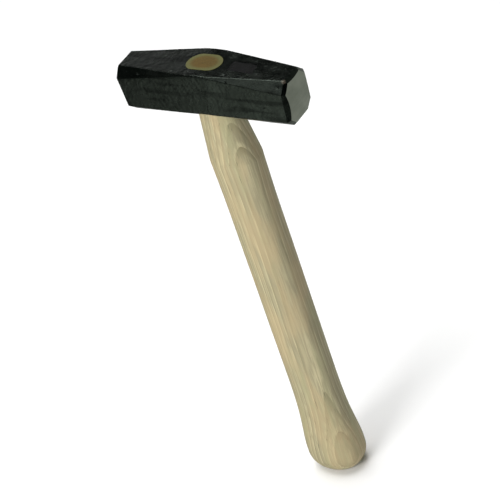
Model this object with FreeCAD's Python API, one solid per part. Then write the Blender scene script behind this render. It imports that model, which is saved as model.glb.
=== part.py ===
import FreeCAD, Part
import math
import os

# Lump hammer: a forged steel head on an ash handle, held by a wooden wedge.
# Millimetres. +Z runs up the handle to the head, +X along the head to one
# striking face, and the origin is the middle of the handle's butt end.

# Head. Its two arms bend down towards the handle from a short curved middle.
# Each arm grows from a square middle section to a tall eight-sided end.
HEAD_CENTRE_Z = 340.5
HALF_LENGTH = 65.9          # along the bent centre line, to the face's corners
MIDDLE_HALF_LENGTH = 7.5    # the curved stretch on each side of the centre
ARM_DROP_DEG = 4.4          # the slope of each arm
MIDDLE_HALF_SIDE = 15.8
MIDDLE_CHAMFER = 0.8        # the worn corners of the square section
END_HALF_WIDTH = 14.9       # in Y
END_HALF_HEIGHT = 17.6      # across the arm, in its own plane
END_CHAMFER = 6.7
FACE_BEVEL = 2.0           # the bevel round a face, at the face's corners
CROWN_RADIUS = 80.0         # both faces are slightly domed

# Eye. A slot with round ends that narrows to a waist half way through the head.
EYE_HALF_LENGTH = 13.3
EYE_HALF_WIDTH = 8.5
EYE_WAIST = 0.8             # how much closer its walls are at the waist

# Handle. One outline, as half lengths in X, turned into an oval.
HANDLE_WIDTH_RATIO = 0.8
BUTT_FLAT = 9.0
BUTT_MAX = 21.8
BUTT_MAX_Z = 15.5
FLARE = 19.9
FLARE_Z = 40.5
GRIP = 17.85
GRIP_LOW_Z = 110.0
GRIP_HIGH_Z = 235.0
SHOULDER = 18.6
SHOULDER_Z = 281.0
NECK_TOP = 13.2

# Wedge. It fills a saw cut along the length of the oval.
WEDGE_TOP_THICKNESS = 4.4
WEDGE_TIP_THICKNESS = 0.8
WEDGE_DEPTH = 24.0

BEND = math.radians(ARM_DROP_DEG)
BEND_RADIUS = MIDDLE_HALF_LENGTH / BEND
HEAD_CENTRE = FreeCAD.Vector(0, 0, HEAD_CENTRE_Z)
BEND_AXIS = HEAD_CENTRE - FreeCAD.Vector(0, 0, BEND_RADIUS)


def octagon(station, half_width, half_height, chamfer):
    """A closed eight-sided wire in the YZ plane, station along X, before the bend."""
    w, h, c = half_width, half_height, chamfer
    outline = [
        (w - c, h), (w, h - c), (w, c - h), (w - c, -h),
        (c - w, -h), (-w, c - h), (-w, h - c), (c - w, h),
    ]
    points = [HEAD_CENTRE + FreeCAD.Vector(station, y, z) for y, z in outline]
    return Part.makePolygon(points + points[:1])


def straight_arm():
    """One arm before it is bent: it starts at X = 0 and ends in a domed face."""
    length = HALF_LENGTH - MIDDLE_HALF_LENGTH
    bevel_start = length - FACE_BEVEL
    root = octagon(0, MIDDLE_HALF_SIDE, MIDDLE_HALF_SIDE, MIDDLE_CHAMFER)
    end = octagon(bevel_start, END_HALF_WIDTH, END_HALF_HEIGHT, END_CHAMFER)
    arm = Part.makeLoft([root, end], True, True)

    # The bevel leans in at 45 degrees past the dome, which then cuts it off.
    depth = 6.0
    corner_chamfer = END_CHAMFER - depth * (2 - math.sqrt(2))
    tip = octagon(
        bevel_start + depth, END_HALF_WIDTH - depth, END_HALF_HEIGHT - depth, corner_chamfer
    )
    arm = arm.fuse(Part.makeLoft([end, tip], True, True))

    face_corner = math.hypot(END_HALF_WIDTH - FACE_BEVEL, END_HALF_HEIGHT - END_CHAMFER)
    sphere_x = length - math.sqrt(CROWN_RADIUS ** 2 - face_corner ** 2)
    dome = Part.makeSphere(CROWN_RADIUS, HEAD_CENTRE + FreeCAD.Vector(sphere_x, 0, 0))
    return arm.common(dome)


def solid_head():
    """The forged bar with no eye in it: a curved middle and two bent arms."""
    y_axis = FreeCAD.Vector(0, 1, 0)
    section = octagon(0, MIDDLE_HALF_SIDE, MIDDLE_HALF_SIDE, MIDDLE_CHAMFER)
    middle = Part.Face(section).revolve(BEND_AXIS, y_axis, 2 * ARM_DROP_DEG)
    middle.rotate(BEND_AXIS, y_axis, -ARM_DROP_DEG)
    right_arm = straight_arm()
    right_arm.rotate(BEND_AXIS, y_axis, ARM_DROP_DEG)
    left_arm = right_arm.mirror(HEAD_CENTRE, FreeCAD.Vector(1, 0, 0))
    return middle.fuse([right_arm, left_arm]).removeSplitter()


def slot(z, inset):
    """A closed wire round the eye at one height, its walls moved in by inset."""
    radius = EYE_HALF_WIDTH - inset
    straight = EYE_HALF_LENGTH - EYE_HALF_WIDTH
    corners = [(straight, -radius), (straight, radius), (-straight, radius), (-straight, -radius)]
    points = [FreeCAD.Vector(x, y, z) for x, y in corners]
    right_tip = FreeCAD.Vector(straight + radius, 0, z)
    left_tip = FreeCAD.Vector(-straight - radius, 0, z)
    return Part.Wire([
        Part.Arc(points[0], right_tip, points[1]).toShape(),
        Part.LineSegment(points[1], points[2]).toShape(),
        Part.Arc(points[2], left_tip, points[3]).toShape(),
        Part.LineSegment(points[3], points[0]).toShape(),
    ])


def eye_core():
    """The core that fills the eye, from just below the head to just above it."""
    reach = MIDDLE_HALF_SIDE + 2
    overshoot = 2 * EYE_WAIST / MIDDLE_HALF_SIDE
    bottom = slot(HEAD_CENTRE_Z - reach, -overshoot)
    waist = slot(HEAD_CENTRE_Z, EYE_WAIST)
    top = slot(HEAD_CENTRE_Z + reach, -overshoot)
    return Part.makeLoft([bottom, waist, top], True, True)


def rim(half_length, z):
    """A point of the handle's outline."""
    return FreeCAD.Vector(half_length, 0, z)


def handle_below_head():
    """The grip: a round butt, a flare, a long even oval, a shoulder and a neck."""
    rounding = math.radians(40)
    butt_middle = rim(
        BUTT_FLAT + (BUTT_MAX - BUTT_FLAT) * math.cos(rounding),
        BUTT_MAX_Z * (1 - math.sin(rounding)),
    )
    neck_top_z = HEAD_CENTRE_Z - MIDDLE_HALF_SIDE + 3
    flank = Part.BSplineCurve()
    flank.interpolate(
        Points=[
            rim(BUTT_MAX, BUTT_MAX_Z),
            rim(FLARE, FLARE_Z),
            rim(GRIP, GRIP_LOW_Z),
            rim(GRIP, GRIP_HIGH_Z),
            rim(SHOULDER, SHOULDER_Z),
        ],
        InitialTangent=FreeCAD.Vector(0, 0, 1),
        FinalTangent=FreeCAD.Vector(0.02, 0, 1),
    )
    outline = [
        Part.LineSegment(rim(0, 0), rim(BUTT_FLAT, 0)).toShape(),
        Part.Arc(rim(BUTT_FLAT, 0), butt_middle, rim(BUTT_MAX, BUTT_MAX_Z)).toShape(),
        flank.toShape(),
        Part.LineSegment(rim(SHOULDER, SHOULDER_Z), rim(NECK_TOP, neck_top_z)).toShape(),
        Part.LineSegment(rim(NECK_TOP, neck_top_z), rim(0, neck_top_z)).toShape(),
        Part.LineSegment(rim(0, neck_top_z), rim(0, 0)).toShape(),
    ]
    turned = Part.Face(Part.Wire(outline)).revolve(rim(0, 0), FreeCAD.Vector(0, 0, 1), 360)
    squash = FreeCAD.Matrix()
    squash.scale(1, HANDLE_WIDTH_RATIO, 1)
    return turned.transformGeometry(squash)


def wedge_blank():
    """A tapered slip of wood, longer than the eye, before it is trimmed flush."""
    length = 2 * EYE_HALF_LENGTH + 10
    top = HEAD_CENTRE_Z + MIDDLE_HALF_SIDE + 1
    tip = top - WEDGE_DEPTH - 1
    corners = [
        (-WEDGE_TOP_THICKNESS / 2, top), (WEDGE_TOP_THICKNESS / 2, top),
        (WEDGE_TIP_THICKNESS / 2, tip), (-WEDGE_TIP_THICKNESS / 2, tip),
    ]
    points = [FreeCAD.Vector(-length / 2, y, z) for y, z in corners]
    end = Part.Face(Part.makePolygon(points + points[:1]))
    return end.extrude(FreeCAD.Vector(length, 0, 0))


bar = solid_head()
core = eye_core()
tenon = core.common(bar)
grip = handle_below_head().cut(bar)
pieces = {
    "head": bar.cut(core),
    "handle": grip.fuse(tenon).cut(wedge_blank()),
    "eye_wedge": tenon.common(wedge_blank()),
}

os.makedirs("parts", exist_ok=True)
for name, piece in pieces.items():
    piece.exportStep("parts/" + name + ".step")
    box = piece.optimalBoundingBox()
    print(name, len(piece.Solids), "solid, valid:", piece.isValid())
    print("  volume", round(piece.Volume / 1000, 2), "cm3")
    print("  from", box.XMin, box.YMin, box.ZMin)
    print("  to", box.XMax, box.YMax, box.ZMax)
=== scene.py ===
import math

import bmesh
import bpy
from mathutils import Matrix, Quaternion, Vector, noise


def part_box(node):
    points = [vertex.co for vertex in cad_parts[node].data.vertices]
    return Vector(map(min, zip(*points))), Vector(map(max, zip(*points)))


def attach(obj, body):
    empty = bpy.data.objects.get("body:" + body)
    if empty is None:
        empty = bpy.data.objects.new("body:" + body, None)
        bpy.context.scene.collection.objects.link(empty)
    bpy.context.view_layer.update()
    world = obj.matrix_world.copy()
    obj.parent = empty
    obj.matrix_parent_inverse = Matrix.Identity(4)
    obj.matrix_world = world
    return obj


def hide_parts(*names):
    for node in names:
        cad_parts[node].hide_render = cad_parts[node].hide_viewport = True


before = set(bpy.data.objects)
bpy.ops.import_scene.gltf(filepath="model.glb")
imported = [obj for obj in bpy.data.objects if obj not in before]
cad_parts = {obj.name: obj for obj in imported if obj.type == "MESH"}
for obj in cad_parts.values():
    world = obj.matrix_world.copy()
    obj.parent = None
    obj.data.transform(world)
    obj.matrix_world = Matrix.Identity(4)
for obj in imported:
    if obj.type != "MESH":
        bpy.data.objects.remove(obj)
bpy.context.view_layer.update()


# Where the tool stands: upright on its butt, on a wide sheet of white card, with
# the camera above it on the front right and soft lamps in front, over and behind.
def wired(tree, kind, sources, **settings):
    """A node with its plain settings, and its inputs linked or set by name or number."""
    node = tree.nodes.new(kind)
    for name, value in settings.items():
        setattr(node, name, value)
    for key, source in sources.items():
        if isinstance(source, bpy.types.NodeSocket):
            tree.links.new(source, node.inputs[key])
        else:
            node.inputs[key].default_value = source
    return node


def polygon_object(name, points, polygons):
    """A mesh object made from points and the polygons between them."""
    mesh = bpy.data.meshes.new(name)
    mesh.from_pydata(points, [], polygons)
    mesh.validate()
    built = bpy.data.objects.new(name, mesh)
    bpy.context.scene.collection.objects.link(built)
    return built


def new_finish(name):
    """A material with its node tree and its shader."""
    finish = bpy.data.materials.new(name)
    finish.use_nodes = True
    return finish, finish.node_tree, finish.node_tree.nodes["Principled BSDF"]


card_half_side = 6.0
corners = [(-1, -1), (1, -1), (1, 1), (-1, 1)]
card = polygon_object(
    "floor_card",
    [(x * card_half_side, y * card_half_side, 0) for x, y in corners],
    [(0, 1, 2, 3)],
)
white_card, tree, shader = new_finish("white_card")
shader.inputs["Base Color"].default_value = (0.97, 0.97, 0.97, 1)
shader.inputs["Roughness"].default_value = 0.9
shader.inputs["Specular IOR Level"].default_value = 0.1
card.data.materials.append(white_card)
card.visible_glossy = False

camera_distance = 1.6332
camera_azimuth = math.radians(42.31)
camera_elevation = math.radians(35.32)
camera_roll = math.radians(-19.42)
aim_point = Vector((-0.0092, -0.0084, 0.2042))

towards_camera = Vector((
    math.sin(camera_azimuth) * math.cos(camera_elevation),
    -math.cos(camera_azimuth) * math.cos(camera_elevation),
    math.sin(camera_elevation),
))
camera = bpy.data.objects.new("camera", bpy.data.cameras.new("camera"))
bpy.context.scene.collection.objects.link(camera)
camera.location = aim_point + towards_camera * camera_distance
level = towards_camera.to_track_quat("Z", "Y")
camera.rotation_euler = (level @ Quaternion((0, 0, 1), camera_roll)).to_euler()
camera.data.sensor_width = 36
camera.data.lens = 172.8
camera.data.clip_end = 50
bpy.context.scene.camera = camera
bpy.context.scene.view_settings.view_transform = "Standard"


def soft_lamp(name, place, size, watts):
    """A square softbox that shines at the middle of the hammer."""
    light = bpy.data.lights.new(name, "AREA")
    light.shape = "SQUARE"
    light.size = size
    light.energy = watts
    lamp = bpy.data.objects.new(name, light)
    bpy.context.scene.collection.objects.link(lamp)
    lamp.location = place
    lamp.rotation_euler = (Vector(place) - aim_point).to_track_quat("Z", "Y").to_euler()
    return lamp


window = soft_lamp("window", (-0.2, -1.7, 0.85), 0.9, 30)
window.visible_glossy = False
soft_lamp("ceiling", (-0.35, 0.15, 2.6), 2.15, 72)
soft_lamp("far_wall", (-2.0, 1.3, 0.88), 1.3, 2.4)
soft_lamp("skylight", (-0.58, -1.02, 1.55), 0.5, 0.85)

# Steel and gloss paint also see a dim room with a few pale patches in it: low behind
# on the right, low in front on the left, a faint one far left, and one in front.
# Each has a direction, the cosine of its half width, and a strength.
room_patches = (
    ((0.49, 0.62, -0.66), 0.0, 0.51),
    ((-0.38, -0.73, -0.57), 0.95, 0.85),
    ((-0.9, -0.4, -0.3), 0.6, 0.1),
    ((0, -0.98, 0.2), 0.8, 0.25),
)
room = bpy.data.worlds.new("room")
room.use_nodes = True
room_tree = room.node_tree
direction = wired(room_tree, "ShaderNodeTexCoord", {}).outputs["Generated"]
room_light = 0.01
for towards, reach, strength in room_patches:
    facing = wired(
        room_tree,
        "ShaderNodeVectorMath",
        {0: direction, 1: Vector(towards).normalized()},
        operation="DOT_PRODUCT",
    )
    glow = wired(
        room_tree,
        "ShaderNodeMapRange",
        {"Value": facing.outputs["Value"], "From Min": reach, "To Max": strength},
        interpolation_type="SMOOTHERSTEP",
    )
    brighter = wired(
        room_tree,
        "ShaderNodeMath",
        {0: room_light, 1: glow.outputs["Result"]},
        operation="ADD",
    )
    room_light = brighter.outputs["Value"]
background = room_tree.nodes["Background"]
background.inputs["Color"].default_value = (0.93, 1, 0.9, 1)
room_tree.links.new(room_light, background.inputs["Strength"])
bpy.context.scene.world = room


# Head: one bar of steel, forged with a square middle and two arms that bend
# down a little and swell into eight-sided ends. The striking faces are ground
# to a low dome inside a bevel, and the eye is punched through the middle.
def millimetres(*values):
    """The same lengths in metres: one number, or a tuple of them."""
    metres = tuple(value / 1000 for value in values)
    return metres[0] if len(metres) == 1 else metres


middle_half_side = millimetres(15.8)
middle_chamfer = millimetres(0.8)
middle_half_length = millimetres(7.5)
head_middle_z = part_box("head")[1].z - middle_half_side
arm_drop = math.radians(4.4)
bend_radius = middle_half_length / arm_drop
half_length = millimetres(65.9)
end_half_width, end_half_height = millimetres(14.9, 17.6)
end_chamfer = millimetres(6.7)
face_bevel = millimetres(2.0)
crown_radius = millimetres(80.0)
corner_rounding = millimetres(0.5)
bevel_start = half_length - face_bevel
stations_per_arm = 56
middle_steps = 8
corner_steps = 3
bevel_probes, bevel_probe_step = 18, millimetres(0.25)
flat_steps = 12
chamfer_steps = 6
bevel_shares = (0.12, 0.5, 0.9, 1)
dome_shares = (0.97, 0.9, 0.8, 0.65, 0.5, 0.35, 0.2, 0.08)
eighth_turn = math.radians(45)


def bent(along, across, above):
    """A point of the bar, measured along, across and above its bent centre line."""
    curved = max(-middle_half_length, min(middle_half_length, along))
    turn = curved / bend_radius
    straight = along - curved
    x = (bend_radius + above) * math.sin(turn) + straight * math.cos(turn)
    drop = bend_radius - (bend_radius + above) * math.cos(turn)
    z = -drop - straight * math.sin(turn)
    return Vector((x, across, head_middle_z + z))


# Gloss black paint lies over the rough forging, and the bare faces show grinding.
def group_tree(name, kind, inputs, outputs):
    """A node group with named sockets; its inputs are {name: (socket type, default)}."""
    tree = bpy.data.node_groups.new(name, kind)
    for label, (socket_type, value) in inputs.items():
        socket = tree.interface.new_socket(label, in_out="INPUT", socket_type=socket_type)
        if value is not None:
            socket.default_value = value
    for label, socket_type in outputs.items():
        tree.interface.new_socket(label, in_out="OUTPUT", socket_type=socket_type)
    given = tree.nodes.new("NodeGroupInput").outputs
    result = tree.nodes.new("NodeGroupOutput").inputs
    return tree, given, result


def on_piece(tree):
    """The place on the piece, in metres."""
    return wired(tree, "ShaderNodeTexCoord", {}).outputs["Object"]


def reckoned(tree, operation, *sources):
    """One step of arithmetic on numbers."""
    node = wired(tree, "ShaderNodeMath", dict(enumerate(sources)), operation=operation)
    return node.outputs["Value"]


def vector_step(tree, operation, *sources):
    """One step of arithmetic on vectors; gives the node's outputs."""
    node = wired(tree, "ShaderNodeVectorMath", dict(enumerate(sources)), operation=operation)
    return node.outputs


def eased(tree, value, low, high, most=1):
    """A smooth step, from 0 where the value is at low to most where it is at high."""
    step = wired(
        tree,
        "ShaderNodeMapRange",
        {"Value": value, "From Min": low, "From Max": high, "To Max": most},
        interpolation_type="SMOOTHSTEP",
    )
    return step.outputs["Result"]


def blotch_group():
    """Soft uneven patches with grain of their own, stretched along one axis."""
    tree, given, result = group_tree(
        "uneven_patches",
        "ShaderNodeTree",
        {
            "Stretch": ("NodeSocketVector", (1, 1, 1)),
            "Scale": ("NodeSocketFloat", 100.0),
            "Low": ("NodeSocketFloat", 0.4),
            "High": ("NodeSocketFloat", 0.6),
        },
        {"Mask": "NodeSocketFloat"},
    )
    mapping = wired(tree, "ShaderNodeMapping", {"Vector": on_piece(tree), "Scale": given["Stretch"]})
    cloud = wired(
        tree,
        "ShaderNodeTexNoise",
        {"Vector": mapping.outputs["Vector"], "Scale": given["Scale"], "Detail": 5},
    )
    mask = eased(tree, cloud.outputs["Fac"], given["Low"], given["High"])
    tree.links.new(mask, result["Mask"])
    return tree


uneven_patches = blotch_group()


def patches(tree, scale, low, high, stretch=(1, 1, 1)):
    """A copy of the uneven patches in a material; gives its mask output."""
    node = wired(
        tree,
        "ShaderNodeGroup",
        {"Scale": scale, "Low": low, "High": high, "Stretch": stretch},
        node_tree=uneven_patches,
    )
    return node.outputs["Mask"]


def blend_colour(tree, mask, first, second):
    """Mixes two colours by a mask. Each is a colour or the output of a node."""
    first, second = (
        colour if isinstance(colour, bpy.types.NodeSocket) else (*colour, 1)
        for colour in (first, second)
    )
    mix = wired(tree, "ShaderNodeMix", {"Factor": mask, "A": first, "B": second}, data_type="RGBA")
    return mix.outputs["Result"]


def blend_value(tree, mask, first, second):
    """Mixes two plain numbers by a mask."""
    span = wired(tree, "ShaderNodeMapRange", {"Value": mask, "To Min": first, "To Max": second})
    return span.outputs["Result"]


def tinted(tree, colour, mask, weight, tint):
    """A colour that goes part of the way to a tint, by a mask and a weight."""
    return blend_colour(tree, blend_value(tree, mask, 0, weight), colour, tint)


def bumped(tree, height, depth, under=None):
    """A bump of a given depth in metres, laid over another bump's normal."""
    sources = {"Distance": depth, "Height": height}
    if under is not None:
        sources["Normal"] = under
    return wired(tree, "ShaderNodeBump", sources).outputs["Normal"]


def pits(tree, spacing, size):
    """Small ragged pits, a few to a patch: 1 in a pit and 0 between them."""
    place = on_piece(tree)
    rough = wired(tree, "ShaderNodeTexNoise", {"Vector": place, "Scale": 1.2 / size})
    raggedness = (2.2 * size, 2.2 * size, 2.2 * size)
    ragged = vector_step(tree, "MULTIPLY_ADD", rough.outputs["Color"], raggedness, place)["Vector"]
    cells = wired(tree, "ShaderNodeTexVoronoi", {"Vector": ragged, "Scale": 1 / spacing})
    pit = eased(tree, cells.outputs["Distance"], size / spacing, 0.3 * size / spacing)
    return reckoned(tree, "MULTIPLY", pit, patches(tree, 60, 0.5, 0.58))


def knocked_spot(tree, centre, reach):
    """A ragged spot round one place: 1 at its middle and 0 outside it."""
    gap = vector_step(tree, "DISTANCE", on_piece(tree), centre)["Value"]
    near = eased(tree, gap, reach, 0.4 * reach)
    return reckoned(tree, "MULTIPLY", near, patches(tree, 700, 0.36, 0.5))


deep_black = (0.0006, 0.0009, 0.0008)
dusty_black = (0.0012, 0.0016, 0.0013)
rusty_brown = (0.065, 0.052, 0.04)
knocked_corner = bent(bevel_start, end_chamfer - end_half_width, end_half_height)
pit_spacing, pit_size = millimetres(7, 1.2)

black_paint, tree, shader = new_finish("black_gloss_paint")
dusty = patches(tree, 90, 0.35, 0.7)
laps = patches(tree, 210, 0.5, 0.64, stretch=(0.1, 1, 1))
paint = blend_colour(tree, dusty, deep_black, dusty_black)
knock = knocked_spot(tree, knocked_corner, millimetres(2.3))
tree.links.new(blend_colour(tree, knock, paint, rusty_brown), shader.inputs["Base Color"])
tree.links.new(blend_value(tree, dusty, 0.2, 0.3), shader.inputs["Roughness"])
tree.links.new(blend_value(tree, laps, 0.55, 0.26), shader.inputs["Specular IOR Level"])
shader.inputs["Specular Tint"].default_value = (0.83, 1, 0.84, 1)
skin = bumped(tree, patches(tree, 380, 0.3, 0.7), millimetres(0.06))
skin = bumped(tree, patches(tree, 130, 0.25, 0.75), millimetres(0.12), skin)
skin = bumped(tree, pits(tree, pit_spacing, pit_size), -millimetres(0.25), skin)
tree.links.new(skin, shader.inputs["Normal"])

stippled_paint, tree, shader = new_finish("black_paint_over_stippling")
shader.inputs["Base Color"].default_value = (0.0008, 0.0011, 0.0009, 1)
shader.inputs["Roughness"].default_value = 0.42
shader.inputs["Specular IOR Level"].default_value = 0.16
stipple = bumped(tree, patches(tree, 1100, 0.35, 0.65), millimetres(0.2))
tree.links.new(stipple, shader.inputs["Normal"])

light_steel = (0.33, 0.335, 0.3)
dull_steel = (0.29, 0.3, 0.265)
fresh_scratch = (0.37, 0.375, 0.34)

bare_steel, tree, shader = new_finish("ground_bare_steel")
dull = patches(tree, 70, 0.35, 0.65)
scratches = patches(tree, 900, 0.45, 0.6, stretch=(1, 0.08, 1))
steel = blend_colour(tree, dull, light_steel, dull_steel)
tree.links.new(tinted(tree, steel, scratches, 0.3, fresh_scratch), shader.inputs["Base Color"])
shader.inputs["Metallic"].default_value = 1.0
tree.links.new(blend_value(tree, dull, 0.42, 0.5), shader.inputs["Roughness"])
tree.links.new(bumped(tree, scratches, millimetres(0.01)), shader.inputs["Normal"])


def rounded_section(half_width, half_height, chamfer, rounding):
    """Points (across, above) round an eight-sided section with rounded corners."""
    w, h, c = half_width, half_height, chamfer
    corners = [
        Vector(pair) for pair in (
            (w - c, h), (c - w, h), (-w, h - c), (-w, c - h),
            (c - w, -h), (w - c, -h), (w, c - h), (w, h - c),
        )
    ]
    setback = rounding * math.tan(eighth_turn / 2)
    arcs = []
    for index, corner in enumerate(corners):
        before = (corners[index - 1] - corner).normalized()
        after = (corners[(index + 1) % 8] - corner).normalized()
        centre = corner + (before + after).normalized() * rounding / math.cos(eighth_turn / 2)
        start = corner + before * setback - centre
        arcs.append([
            centre + Matrix.Rotation(eighth_turn * step / corner_steps, 2) @ start
            for step in range(corner_steps + 1)
        ])
    points = []
    for index, arc in enumerate(arcs):
        points += arc
        following = arcs[(index + 1) % 8][0]
        steps = chamfer_steps if index % 2 else flat_steps
        points += [arc[-1].lerp(following, step / steps) for step in range(1, steps)]
    return points


def grown_sizes(along):
    """The half width, half height and chamfer of the bar at a distance along it."""
    growth = max(0, abs(along) - middle_half_length) / (bevel_start - middle_half_length)
    return (
        middle_half_side + (end_half_width - middle_half_side) * growth,
        middle_half_side + (end_half_height - middle_half_side) * growth,
        middle_chamfer + (end_chamfer - middle_chamfer) * growth,
    )


# Dents in the forging's skin: how close together, shifted by how much, and how deep.
dents = (
    (45, Vector((0, 0, 0)), millimetres(0.16)),
    (170, Vector((7, 3, 1)), millimetres(0.05)),
)


def hammered(point):
    """A point moved in by a hair, as a drop-forged skin is never quite flat."""
    outward = Vector((0, point.y, point.z - head_middle_z)).normalized()
    rise = sum((noise.noise(point * scale + shift) - 1) * depth for scale, shift, depth in dents)
    return point + outward * rise


def dome_reach(across, above):
    """How far along the arm the domed face lies at a place in the section."""
    corner = math.hypot(end_half_width - face_bevel, end_half_height - end_chamfer)
    centre = half_length - math.sqrt(crown_radius ** 2 - corner ** 2)
    return centre + math.sqrt(crown_radius ** 2 - across ** 2 - above ** 2)


def bevel_rings():
    """Rings of (along, across, above) from the bar's end over the bevel to the dome's edge."""
    depths = [bevel_probe_step * step for step in range(bevel_probes)]
    insets = [
        rounded_section(
            end_half_width - depth,
            end_half_height - depth,
            end_chamfer - depth * (2 - math.sqrt(2)),
            corner_rounding,
        )
        for depth in depths
    ]
    edge = []
    for index in range(len(insets[0])):
        gaps = [dome_reach(*ring[index]) - bevel_start - depth for ring, depth in zip(insets, depths)]
        inner = next(step for step, gap in enumerate(gaps) if gap < 0)
        share = gaps[inner - 1] / (gaps[inner - 1] - gaps[inner])
        place = insets[inner - 1][index].lerp(insets[inner][index], share)
        edge.append(Vector((dome_reach(*place), *place)))
    start = [Vector((bevel_start, *place)) for place in insets[0]]
    return [[a.lerp(b, share) for a, b in zip(start, edge)] for share in bevel_shares]


def dome_rings(edge):
    """Rings of the domed face, from its edge to a small one round its middle."""
    rings = []
    for share in dome_shares:
        places = [(point.y * share, point.z * share) for point in edge]
        rings.append([Vector((dome_reach(*place), *place)) for place in places])
    return rings


def tube(name, rings):
    """A closed tube through rings that have the same number of points."""
    size = len(rings[0])
    last = len(rings) - 1
    sides = [
        (
            ring * size + index,
            ring * size + (index + 1) % size,
            (ring + 1) * size + (index + 1) % size,
            (ring + 1) * size + index,
        )
        for ring in range(last)
        for index in range(size)
    ]
    ends = [tuple(reversed(range(size))), tuple(range(last * size, last * size + size))]
    return polygon_object(name, [point for ring in rings for point in ring], sides + ends)


arm_stations = [
    middle_half_length + (bevel_start - middle_half_length) * step / stations_per_arm
    for step in range(1, stations_per_arm + 1)
]
middle_stations = [
    middle_half_length * step / middle_steps for step in range(-middle_steps, middle_steps + 1)
]
stations = [-along for along in reversed(arm_stations)] + middle_stations + arm_stations
bar_rings = [
    [Vector((along, *place)) for place in rounded_section(*grown_sizes(along), corner_rounding)]
    for along in stations
]
right_bevel = bevel_rings()
right_dome = dome_rings(right_bevel[-1])
right_end = right_bevel + right_dome
left_end = [[Vector((-p.x, p.y, p.z)) for p in ring] for ring in reversed(right_end)]
head_rings = left_end + bar_rings + right_end
head = tube("head_forging", [[hammered(bent(*place)) for place in ring] for ring in head_rings])
head.data.materials.append(black_paint)
head.data.materials.append(bare_steel)
ring_size = len(head_rings[0])
for polygon in head.data.polygons:
    first_ring = min(polygon.vertices) // ring_size
    last_ring = max(polygon.vertices) // ring_size
    ground = first_ring < len(right_dome) or last_ring >= len(head_rings) - len(right_dome)
    polygon.material_index = 1 if ground else 0

# The eye is a slot with round ends and a waist, cut through the forging.
eye_half_length, eye_half_width = millimetres(13.3, 8.5)
eye_waist = millimetres(0.8)
punch_overshoot = millimetres(2)
eye_reach = middle_half_side + punch_overshoot
eye_steps = 24


def eye_ring(height, inset):
    """Points round the eye at a height above the head's middle."""
    radius = eye_half_width - inset
    straight = eye_half_length - eye_half_width
    points = []
    for side in (1, -1):
        for step in range(eye_steps + 1):
            turn = math.pi * (step / eye_steps - 0.5)
            x = side * (straight + radius * math.cos(turn))
            y = side * radius * math.sin(turn)
            points.append(Vector((x, y, head_middle_z + height)))
    return points


def combine(piece, other, operation):
    """Cuts another shape out of a piece or joins it on, and removes the other shape."""
    step = piece.modifiers.new("combine", "BOOLEAN")
    step.operation = operation
    step.solver = "EXACT"
    step.material_mode = "TRANSFER"
    step.object = other
    evaluated = piece.evaluated_get(bpy.context.evaluated_depsgraph_get())
    finished = bpy.data.meshes.new_from_object(evaluated)
    piece.modifiers.clear()
    piece.data = finished
    bpy.data.objects.remove(other)


mouth_flare = punch_overshoot * eye_waist / middle_half_side
eye_punch = tube("eye_punch", [
    eye_ring(-eye_reach, -mouth_flare),
    eye_ring(0, eye_waist),
    eye_ring(eye_reach, -mouth_flare),
])
eye_punch.data.materials.append(black_paint)
combine(head, eye_punch, "DIFFERENCE")

# A plain sunk panel with slanting walls, struck into the top of the right arm.
panel_along = millimetres(28)
panel_half_length, panel_half_width = millimetres(9.5, 5.2)
panel_corner = millimetres(1.6)
panel_corner_steps = 6
panel_depth, panel_floor_inset = millimetres(0.7, 0.4)
panel_clearance, panel_mouth_spread = millimetres(1.5, 1.2)


def panel_ring(height, spread):
    """A rounded rectangle on the right arm's top, at a height above its skin."""
    skin_height = grown_sizes(panel_along)[1]
    radius = panel_corner + spread
    points = []
    for quarter, (sign_x, sign_y) in enumerate([(1, 1), (-1, 1), (-1, -1), (1, -1)]):
        for step in range(panel_corner_steps + 1):
            turn = math.radians(90) * (quarter + step / panel_corner_steps)
            along = panel_along + sign_x * (panel_half_length - panel_corner) + radius * math.cos(turn)
            across = sign_y * (panel_half_width - panel_corner) + radius * math.sin(turn)
            points.append(bent(along, across, skin_height + height))
    return points


panel_punch = tube("panel_punch", [
    panel_ring(-panel_depth, -panel_floor_inset),
    panel_ring(panel_clearance, panel_mouth_spread),
])
panel_punch.data.materials.append(stippled_paint)
combine(head, panel_punch, "DIFFERENCE")
head.data.shade_smooth()
head.data.set_sharp_from_angle(angle=math.radians(24))

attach(head, "root")
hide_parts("head")


# Handle: one stick of ash, turned and sanded to an oval. It has a rounded butt,
# a long even grip, a shoulder, and a neck that is shaved to meet the head. Its
# tenon fills the eye and ends flush with the top of the head.
neck_gap = millimetres(0.6)
neck_top_z = head_middle_z - middle_half_side - neck_gap
tenon_lap = millimetres(0.15)
grip_width_ratio = 0.8
grip_flatness = 0.88
butt_flat, butt_radius, butt_height = millimetres(9.0, 21.8, 15.5)
flare_radius, flare_height = millimetres(19.9, 40.5)
grip_radius, grip_low_z, grip_high_z = millimetres(17.85, 110, 235)
shoulder_radius, shoulder_z = millimetres(18.6, 281)
neck_radius = millimetres(13.8)
neck_lean = (*millimetres(-0.6, -0.5), 0)
hand_finish = millimetres(0.35)


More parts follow.
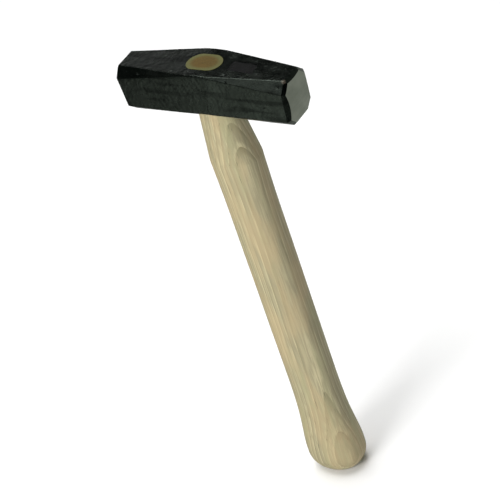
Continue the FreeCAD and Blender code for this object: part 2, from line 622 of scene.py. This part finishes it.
def stick_template():
    """Half the outline up the handle, as a curve: half its length in X at each height.

    Each stop has a radius, a height, and the (radius, height) reach in millimetres
    of the curve's two arms there, the arriving one and the leaving one.
    """
    corner = (0, 0)
    to_neck = Vector((neck_radius - shoulder_radius, neck_top_z - shoulder_z)).normalized()
    stops = [
        ((0, 0), corner, corner),
        ((butt_flat, 0), (1, 0), (6.6, 0)),
        ((butt_radius, butt_height), (0, 8.5), (0, 9)),
        ((flare_radius, flare_height), (-1.6, 14), (-2.4, 21)),
        ((grip_radius, grip_low_z), (0, 26), (0, 40)),
        ((grip_radius, grip_high_z), (0, 40), (0, 15)),
        ((shoulder_radius, shoulder_z), (0.4, 14), to_neck * 4),
        ((neck_radius, neck_top_z), corner, corner),
        ((0, neck_top_z), corner, corner),
    ]
    curve = bpy.data.curves.new("stick_template", "CURVE")
    curve.dimensions = "3D"
    curve.resolution_u = 32
    points = curve.splines.new("BEZIER").bezier_points
    points.add(len(stops) - 1)
    for point, ((radius, height), arriving, leaving) in zip(points, stops):
        point.handle_left_type = point.handle_right_type = "FREE"
        point.co = (radius, 0, height)
        point.handle_left = point.co - Vector((arriving[0], 0, arriving[1])) / 1000
        point.handle_right = point.co + Vector((leaving[0], 0, leaving[1])) / 1000
    template = bpy.data.objects.new("stick_template", curve)
    bpy.context.scene.collection.objects.link(template)
    return template


def turning_tree():
    """Turns a template curve round the Z axis into an oval stick with a shaved neck."""
    tree, given, result = group_tree(
        "turned_oval",
        "GeometryNodeTree",
        {
            "Template": ("NodeSocketGeometry", None),
            "Sides": ("NodeSocketInt", 96),
            "Rings": ("NodeSocketInt", 380),
            "Width Ratio": ("NodeSocketFloat", 0.8),
            "Flatness": ("NodeSocketFloat", 1.0),
            "Shoulder": ("NodeSocketFloat", 0.28),
            "Neck Top": ("NodeSocketFloat", 0.32),
            "Neck Lean": ("NodeSocketVector", (0, 0, 0)),
            "Hand Finish": ("NodeSocketFloat", 0.0001),
            "Wood": ("NodeSocketMaterial", None),
        },
        {"Stick": "NodeSocketGeometry"},
    )

    def split(vector):
        """A vector's X, Y and Z."""
        return wired(tree, "ShaderNodeSeparateXYZ", {"Vector": vector}).outputs

    def joined(x, y, z):
        """A vector from its X, Y and Z."""
        return wired(tree, "ShaderNodeCombineXYZ", {"X": x, "Y": y, "Z": z}).outputs["Vector"]

    def flattened(value):
        """The same sign and a power of the size, which flattens the oval's four sides."""
        size = reckoned(tree, "POWER", reckoned(tree, "ABSOLUTE", value), given["Flatness"])
        return reckoned(tree, "MULTIPLY", reckoned(tree, "SIGN", value), size)

    columns = reckoned(tree, "ADD", given["Sides"], 1)
    sheet = wired(tree, "GeometryNodeMeshGrid", {"Vertices X": columns, "Vertices Y": given["Rings"]})
    flat = split(wired(tree, "GeometryNodeInputPosition", {}).outputs["Position"])
    turn = reckoned(tree, "MULTIPLY", flat["X"], 2 * math.pi)
    climb = reckoned(tree, "ADD", flat["Y"], 0.5)
    sample = wired(
        tree,
        "GeometryNodeSampleCurve",
        {"Curves": given["Template"], "Factor": climb},
        mode="FACTOR",
    )
    rim = split(sample.outputs["Position"])
    cosine = flattened(reckoned(tree, "COSINE", turn))
    sine = flattened(reckoned(tree, "SINE", turn))
    half_width = reckoned(tree, "MULTIPLY", rim["X"], given["Width Ratio"])
    round_point = joined(
        reckoned(tree, "MULTIPLY", rim["X"], cosine),
        reckoned(tree, "MULTIPLY", half_width, sine),
        rim["Z"],
    )

    shaved = wired(
        tree,
        "ShaderNodeMapRange",
        {"Value": rim["Z"], "From Min": given["Shoulder"], "From Max": given["Neck Top"]},
    )
    lean = wired(
        tree,
        "ShaderNodeVectorMath",
        {0: given["Neck Lean"], "Scale": shaved.outputs["Result"]},
        operation="SCALE",
    )

    wobble_scale = (55, 55, 14)
    drawn_out = vector_step(tree, "MULTIPLY", round_point, wobble_scale)["Vector"]
    wobble = wired(tree, "ShaderNodeTexNoise", {"Vector": drawn_out, "Scale": 1.0, "Detail": 1.0})
    even = reckoned(tree, "SUBTRACT", wobble.outputs["Fac"], 0.5)
    swing = reckoned(tree, "MULTIPLY", even, given["Hand Finish"])
    swell = wired(
        tree,
        "ShaderNodeVectorMath",
        {0: joined(cosine, sine, 0), "Scale": swing},
        operation="SCALE",
    )

    moves = vector_step(tree, "ADD", lean.outputs["Vector"], swell.outputs["Vector"])["Vector"]
    rolled = wired(
        tree,
        "GeometryNodeSetPosition",
        {"Geometry": sheet.outputs["Mesh"], "Position": round_point, "Offset": moves},
    )
    stick = rolled.outputs["Geometry"]
    for kind, settings in (
        ("GeometryNodeMergeByDistance", {"Distance": millimetres(0.03)}),
        ("GeometryNodeSetShadeSmooth", {}),
        ("GeometryNodeRealizeInstances", {}),
        ("GeometryNodeSetMaterial", {"Material": given["Wood"]}),
    ):
        stick = wired(tree, kind, {"Geometry": stick, **settings}).outputs["Geometry"]
    tree.links.new(stick, result["Stick"])
    return tree


# The rings of the log, as a share of one year and how strongly its coarse wood shows.
season_stops = ((0.0, 1.0), (0.16, 0.75), (0.42, 0.12), (0.9, 0.0), (1.0, 0.25))
log_tilt = (math.radians(0.2), math.radians(0.12), 0)
ring_waver = 1.1
weather_seed = 21


def season_ramp(tree, ring):
    """How strongly the coarse early wood shows, at a share of one year's growth."""
    season = wired(tree, "ShaderNodeValToRGB", {"Fac": ring})
    season.color_ramp.interpolation = "EASE"
    stops = season.color_ramp.elements
    first, *between, last = season_stops
    for stop, (position, level) in ((stops[0], first), (stops[1], last)):
        stop.position = position
        stop.color = (level, level, level, 1)
    for position, level in between:
        stops.new(position).color = (level, level, level, 1)
    return season.outputs["Color"]


def grain_group():
    """Colour of ash cut from one log, with its fibres and its open pores.

    The rings are true cylinders round the pith, so they come out as straight
    lines, arches or end grain by themselves, wherever the surface cuts them.
    """
    tree, given, result = group_tree(
        "ash_grain",
        "ShaderNodeTree",
        {
            "Pith": ("NodeSocketVector", (0, 0, 0)),
            "Ring Width": ("NodeSocketFloat", 0.002),
            "Pale": ("NodeSocketColor", (0.46, 0.41, 0.25, 1)),
            "Ring Tone": ("NodeSocketColor", (0.24, 0.21, 0.11, 1)),
        },
        {"Colour": "NodeSocketColor", "Fibres": "NodeSocketFloat", "Pores": "NodeSocketFloat"},
    )

    def toned(colour, red, green, blue):
        """A colour with its three parts scaled."""
        return vector_step(tree, "MULTIPLY", colour, (red, green, blue))["Vector"]

    place = on_piece(tree)
    log = wired(
        tree,
        "ShaderNodeMapping",
        {"Vector": place, "Location": given["Pith"], "Rotation": log_tilt},
        vector_type="TEXTURE",
    )
    across_log = vector_step(tree, "MULTIPLY", log.outputs["Vector"], (1, 1, 0))["Vector"]
    radius = vector_step(tree, "LENGTH", across_log)["Value"]
    drawn_out = wired(tree, "ShaderNodeMapping", {"Vector": place, "Scale": (1, 1, 0.1)})
    waver = wired(
        tree,
        "ShaderNodeTexNoise",
        {"Vector": drawn_out.outputs["Vector"], "Scale": 42, "Detail": 2},
    )
    swing = reckoned(tree, "MULTIPLY", given["Ring Width"], ring_waver)
    wavy_radius = reckoned(tree, "MULTIPLY_ADD", waver.outputs["Fac"], swing, radius)
    count = reckoned(tree, "DIVIDE", wavy_radius, given["Ring Width"])
    ring = reckoned(tree, "FRACT", count)
    season = season_ramp(tree, ring)

    pale = given["Pale"]
    year = reckoned(tree, "ADD", reckoned(tree, "FLOOR", count), weather_seed)
    weather = wired(tree, "ShaderNodeTexWhiteNoise", {"W": year}, noise_dimensions="1D")
    dry_year = toned(pale, 0.66, 0.66, 0.66)
    cream = toned(pale, 1.15, 1.15, 1.15)
    colour = blend_colour(tree, weather.outputs["Value"], pale, dry_year)
    colour = blend_colour(tree, season, colour, given["Ring Tone"])
    colour = blend_colour(tree, eased(tree, ring, 0.66, 0.9, most=0.7), colour, cream)

    fibres = patches(tree, 1000, 0.38, 0.62, stretch=(1, 1, 0.05))
    warm = patches(tree, 75, 0.42, 0.6, stretch=(1, 1, 0.2))
    cool = patches(tree, 110, 0.5, 0.68, stretch=(1, 1, 0.16))
    colour = tinted(tree, colour, fibres, 0.75, toned(pale, 0.62, 0.62, 0.62))
    colour = tinted(tree, colour, warm, 0.5, toned(pale, 1, 0.86, 0.78))
    colour = tinted(tree, colour, cool, 0.6, toned(pale, 0.74, 0.8, 0.74))

    pores = patches(tree, 1500, 0.62, 0.72, stretch=(1, 1, 0.035))
    open_pores = reckoned(tree, "MULTIPLY", pores, season)
    colour = blend_colour(tree, open_pores, colour, toned(given["Ring Tone"], 0.4, 0.4, 0.4))
    for label, output in (("Colour", colour), ("Fibres", fibres), ("Pores", open_pores)):
        tree.links.new(output, result[label])
    return tree


def rim_group():
    """Where paint crept in round the wood: 1 at the rim of the eye and 0 in its middle."""
    tree, given, result = group_tree(
        "eye_rim",
        "ShaderNodeTree",
        {"Clean Share": ("NodeSocketFloat", 0.6), "Stained Share": ("NodeSocketFloat", 0.95)},
        {"Mask": "NodeSocketFloat"},
    )
    eye_shape = (1 / eye_half_length, 1 / eye_half_width, 0)
    across_eye = vector_step(tree, "MULTIPLY", on_piece(tree), eye_shape)["Vector"]
    reach = vector_step(tree, "LENGTH", across_eye)["Value"]
    mask = eased(tree, reach, given["Clean Share"], given["Stained Share"])
    tree.links.new(mask, result["Mask"])
    return tree


ash_grain = grain_group()
eye_rim = rim_group()
stick_pith = (-0.036, 0.042, 0.1)
pale_ash = (0.462, 0.41, 0.249)
ash_ring = (0.244, 0.21, 0.112)
stained_rim = (0.098, 0.096, 0.034)


def ash(tree, pith, ring_width, pale, ring_tone):
    """A copy of the ash grain in a material; gives its outputs."""
    sources = {
        "Pith": pith,
        "Ring Width": ring_width,
        "Pale": (*pale, 1),
        "Ring Tone": (*ring_tone, 1),
    }
    return wired(tree, "ShaderNodeGroup", sources, node_tree=ash_grain).outputs


def end_grain_finish(name, pith, ring_width, pale, ring_tone):
    """Bare end grain in the eye, greyer towards the rim."""
    finish, tree, shader = new_finish(name)
    grain = ash(tree, pith, ring_width, pale, ring_tone)["Colour"]
    rim_shares = {"Clean Share": 0.6, "Stained Share": 0.95}
    rim = wired(tree, "ShaderNodeGroup", rim_shares, node_tree=eye_rim).outputs["Mask"]
    tree.links.new(blend_colour(tree, rim, grain, stained_rim), shader.inputs["Base Color"])
    shader.inputs["Roughness"].default_value = 0.7
    shader.inputs["Specular IOR Level"].default_value = 0.25
    sawn = bumped(tree, patches(tree, 1600, 0.35, 0.65), millimetres(0.1))
    tree.links.new(sawn, shader.inputs["Normal"])
    return finish


sanded_ash, tree, shader = new_finish("sanded_ash")
grain = ash(tree, stick_pith, millimetres(2.1), pale_ash, ash_ring)
tree.links.new(grain["Colour"], shader.inputs["Base Color"])
tree.links.new(blend_value(tree, grain["Fibres"], 0.42, 0.56), shader.inputs["Roughness"])
shader.inputs["Specular IOR Level"].default_value = 0.35
fine = bumped(tree, grain["Fibres"], millimetres(0.06))
pored = bumped(tree, grain["Pores"], -millimetres(0.12), fine)
tree.links.new(pored, shader.inputs["Normal"])

end_grain = end_grain_finish(
    "ash_end_grain", stick_pith, millimetres(1.9), (0.106, 0.071, 0.0165), (0.09, 0.059, 0.0135)
)

template = stick_template()
turning = template.modifiers.new("turning", "NODES")
turning.node_group = turning_tree()
sizes = {
    "Width Ratio": grip_width_ratio,
    "Flatness": grip_flatness,
    "Shoulder": shoulder_z,
    "Neck Top": neck_top_z,
    "Neck Lean": neck_lean,
    "Hand Finish": hand_finish,
    "Wood": sanded_ash,
}
for item in turning.node_group.interface.items_tree:
    if item.name in sizes and item.in_out == "INPUT":
        turning[item.identifier] = sizes[item.name]
turned_stick = template.evaluated_get(bpy.context.evaluated_depsgraph_get())
handle = bpy.data.objects.new("ash_handle", bpy.data.meshes.new_from_object(turned_stick))
bpy.context.scene.collection.objects.link(handle)
bpy.data.objects.remove(template)


def upper_part(node, height):
    """A closed copy of a CAD node's mesh, of what lies above a height."""
    shape = bmesh.new()
    shape.from_mesh(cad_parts[node].data)
    bmesh.ops.remove_doubles(shape, verts=shape.verts, dist=millimetres(0.002))
    everything = shape.verts[:] + shape.edges[:] + shape.faces[:]
    bmesh.ops.bisect_plane(
        shape, geom=everything, plane_co=(0, 0, height), plane_no=(0, 0, 1), clear_inner=True
    )
    bmesh.ops.holes_fill(shape, edges=[edge for edge in shape.edges if edge.is_boundary])
    mesh = bpy.data.meshes.new(node + "_top")
    shape.to_mesh(mesh)
    shape.free()
    top = bpy.data.objects.new(node + "_top", mesh)
    bpy.context.scene.collection.objects.link(top)
    return top


# The tenon goes on from the neck up through the eye, split by the wedge's saw cut.
tenon = upper_part("handle", neck_top_z - tenon_lap)
tenon.data.materials.clear()
tenon.data.materials.append(end_grain)
combine(handle, tenon, "UNION")
handle.data.shade_smooth()
handle.data.set_sharp_from_angle(angle=math.radians(35))
for polygon in handle.data.polygons:
    polygon.use_smooth = handle.data.materials[polygon.material_index] == sanded_ash
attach(handle, "root")
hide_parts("handle")


# Wedge: a slip of ash driven into the saw cut, which spreads the tenon tight in
# the eye. It is cut off and sanded flush with the tenon.
wedge_pith = (0.03, -0.028, 0.1)
wedge_grain = end_grain_finish(
    "wedge_end_grain", wedge_pith, millimetres(1.4), (0.104, 0.07, 0.0165), (0.088, 0.058, 0.0135)
)
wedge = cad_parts["eye_wedge"]
wedge.data.materials.clear()
wedge.data.materials.append(wedge_grain)
